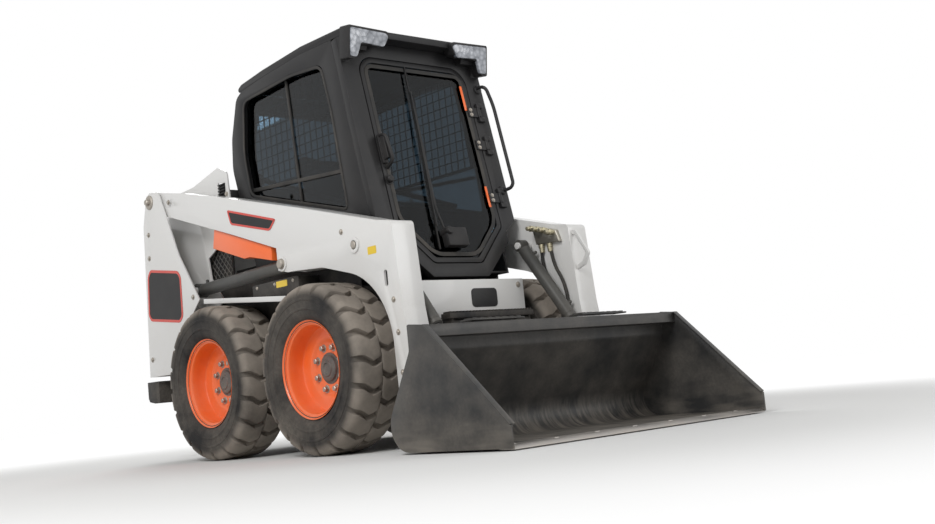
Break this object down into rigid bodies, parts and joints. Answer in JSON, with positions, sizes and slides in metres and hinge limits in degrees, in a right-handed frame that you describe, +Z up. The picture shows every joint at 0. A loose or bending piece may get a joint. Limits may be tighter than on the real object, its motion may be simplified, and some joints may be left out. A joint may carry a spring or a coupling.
{
  "type": "skid steer loader",
  "caption": "Compact wheeled skid steer loader with enclosed cab, lift arms hinged at the tail, hydraulic cylinders and a wide dirt bucket.",
  "frame": {"origin": "on the ground, under the middle of the bounding box, with the wheels standing on it", "axes": "+X forward towards the bucket, +Y towards the machine's left, +Z up"},
  "size_m": [3.105, 1.575, 1.9749],
  "materials": {
    "tyres": "matte",
    "wheel_paint": "satin",
    "body_paint": "satin",
    "cab_paint": "satin",
    "frame_paint": "satin",
    "bucket_paint": "satin",
    "worn_steel": "worn",
    "cylinder_paint": "satin",
    "rod_chrome": "polished",
    "coupler_steel": "brushed",
    "tinted_glass": "gloss",
    "seat_vinyl": "matte",
    "black_plastic": "matte",
    "lamp_lens": "gloss"
  },
  "bodies": {
    "chassis": {"chassis_tub": "frame_paint", "axle_housings": "frame_paint", "fenders": "body_paint", "side_covers": "frame_paint", "tail_upright_left": "body_paint", "tail_upright_right": "body_paint", "rear_bumper": "frame_paint", "engine_block": "frame_paint", "side_grilles": "frame_paint", "front_panel": "body_paint", "front_step": "frame_paint", "cab_side_left": "cab_paint", "cab_side_right": "cab_paint", "cab_roof": "cab_paint", "cab_rear": "cab_paint", "cab_glass": "tinted_glass", "cab_front_frame": "cab_paint", "door_hinges": "cab_paint", "grab_bar": "cab_paint", "cab_floor": "cab_paint", "side_screens": "cab_paint", "seat": "seat_vinyl", "control_levers": "black_plastic", "work_lamps": "lamp_lens", "vent_panel": "cab_paint"},
    "lift_arms": {"lift_arm_left": "body_paint", "lift_arm_right": "body_paint", "arm_cross_tube": "body_paint", "arm_support": "wheel_paint", "coupler_block": "coupler_steel", "guard_handle": "body_paint"},
    "lift_cylinder_barrels": {"lift_barrels": "cylinder_paint"},
    "lift_cylinder_rods": {"lift_rods": "rod_chrome"},
    "bucket": {"bucket_carrier": "bucket_paint", "bucket_shell": "bucket_paint", "cutting_edge": "worn_steel"},
    "tilt_cylinder_barrels": {"tilt_barrels": "cylinder_paint"},
    "tilt_cylinder_rods": {"tilt_rods": "rod_chrome"},
    "cab_door": {"door_frame": "cab_paint", "door_glass": "tinted_glass", "door_latch": "black_plastic"},
    "tailgate_body": {"tailgate": "body_paint"},
    "engine_hood_body": {"engine_hood": "cab_paint"},
    "seat_bar_body": {"seat_bar": "cab_paint"},
    "wheel_front_right": {"tyre_front_right": "tyres", "rim_front_right": "wheel_paint"},
    "wheel_front_left": {"tyre_front_left": "tyres", "rim_front_left": "wheel_paint"},
    "wheel_rear_right": {"tyre_rear_right": "tyres", "rim_rear_right": "wheel_paint"},
    "wheel_rear_left": {"tyre_rear_left": "tyres", "rim_rear_left": "wheel_paint"}
  },
  "joints": [
    {"name": "wheel_front_right_spin", "type": "hinge", "parent": "chassis", "child": "wheel_front_right", "pos_m": [0.2265, -0.605, 0.387], "axis": [0, 1, 0], "continuous": true},
    {"name": "wheel_front_left_spin", "type": "hinge", "parent": "chassis", "child": "wheel_front_left", "pos_m": [0.2265, 0.605, 0.387], "axis": [0, 1, 0], "continuous": true},
    {"name": "wheel_rear_right_spin", "type": "hinge", "parent": "chassis", "child": "wheel_rear_right", "pos_m": [-0.6725, -0.605, 0.387], "axis": [0, 1, 0], "continuous": true},
    {"name": "wheel_rear_left_spin", "type": "hinge", "parent": "chassis", "child": "wheel_rear_left", "pos_m": [-0.6725, 0.605, 0.387], "axis": [0, 1, 0], "continuous": true},
    {"name": "lift", "type": "hinge", "parent": "chassis", "child": "lift_arms", "pos_m": [-1.3335, 0, 1.427], "axis": [0, -1, 0], "range_deg": [0, 63.6]},
    {"name": "lift_cylinder_swing", "type": "hinge", "parent": "chassis", "child": "lift_cylinder_barrels", "pos_m": [-0.9725, 0, 0.888], "axis": [0, -1, 0], "range_deg": [0, 64.07]},
    {"name": "lift_cylinder_stroke", "type": "slide", "parent": "lift_cylinder_barrels", "child": "lift_cylinder_rods", "axis": [0.9998, 0, 0.0214], "range_m": [0, 0.685]},
    {"name": "bucket_tilt", "type": "hinge", "parent": "lift_arms", "child": "bucket", "pos_m": [0.7825, 0, 0.21], "axis": [0, 1, 0], "range_deg": [-28, 104]},
    {"name": "tilt_cylinder_swing", "type": "hinge", "parent": "lift_arms", "child": "tilt_cylinder_barrels", "pos_m": [0.4895, 0, 0.91], "axis": [0, 1, 0], "range_deg": [-1.52, 5.63]},
    {"name": "tilt_cylinder_stroke", "type": "slide", "parent": "tilt_cylinder_barrels", "child": "tilt_cylinder_rods", "axis": [0.5931, 0, -0.8051], "range_m": [-0.093, 0.3453]},
    {"name": "cab_door_swing", "type": "hinge", "parent": "chassis", "child": "cab_door", "pos_m": [0.38659, 0.369, 1.38914], "axis": [-0.2011, 0, 0.9796], "range_deg": [0, 90]},
    {"name": "tailgate_swing", "type": "hinge", "parent": "chassis", "child": "tailgate_body", "pos_m": [-1.4765, -0.462, 0.88], "axis": [0, 0, 1], "range_deg": [0, 95]},
    {"name": "hood_lift", "type": "hinge", "parent": "chassis", "child": "engine_hood_body", "pos_m": [-0.7445, 0, 1.408], "axis": [0, 1, 0], "range_deg": [0, 60]},
    {"name": "seat_bar_lift", "type": "hinge", "parent": "chassis", "child": "seat_bar_body", "pos_m": [-0.6435, 0, 1.44], "axis": [0, -1, 0], "range_deg": [0, 50]}
  ],
  "couplings": [
    {"joint": "lift_cylinder_swing", "follows": "lift", "ratio": 1.0054},
    {"joint": "lift_cylinder_stroke", "follows": "lift", "m_per_rad": 0.61589},
    {"joint": "tilt_cylinder_swing", "follows": "bucket_tilt", "ratio": 0.05403},
    {"joint": "tilt_cylinder_stroke", "follows": "bucket_tilt", "m_per_rad": 0.18984}
  ]
}
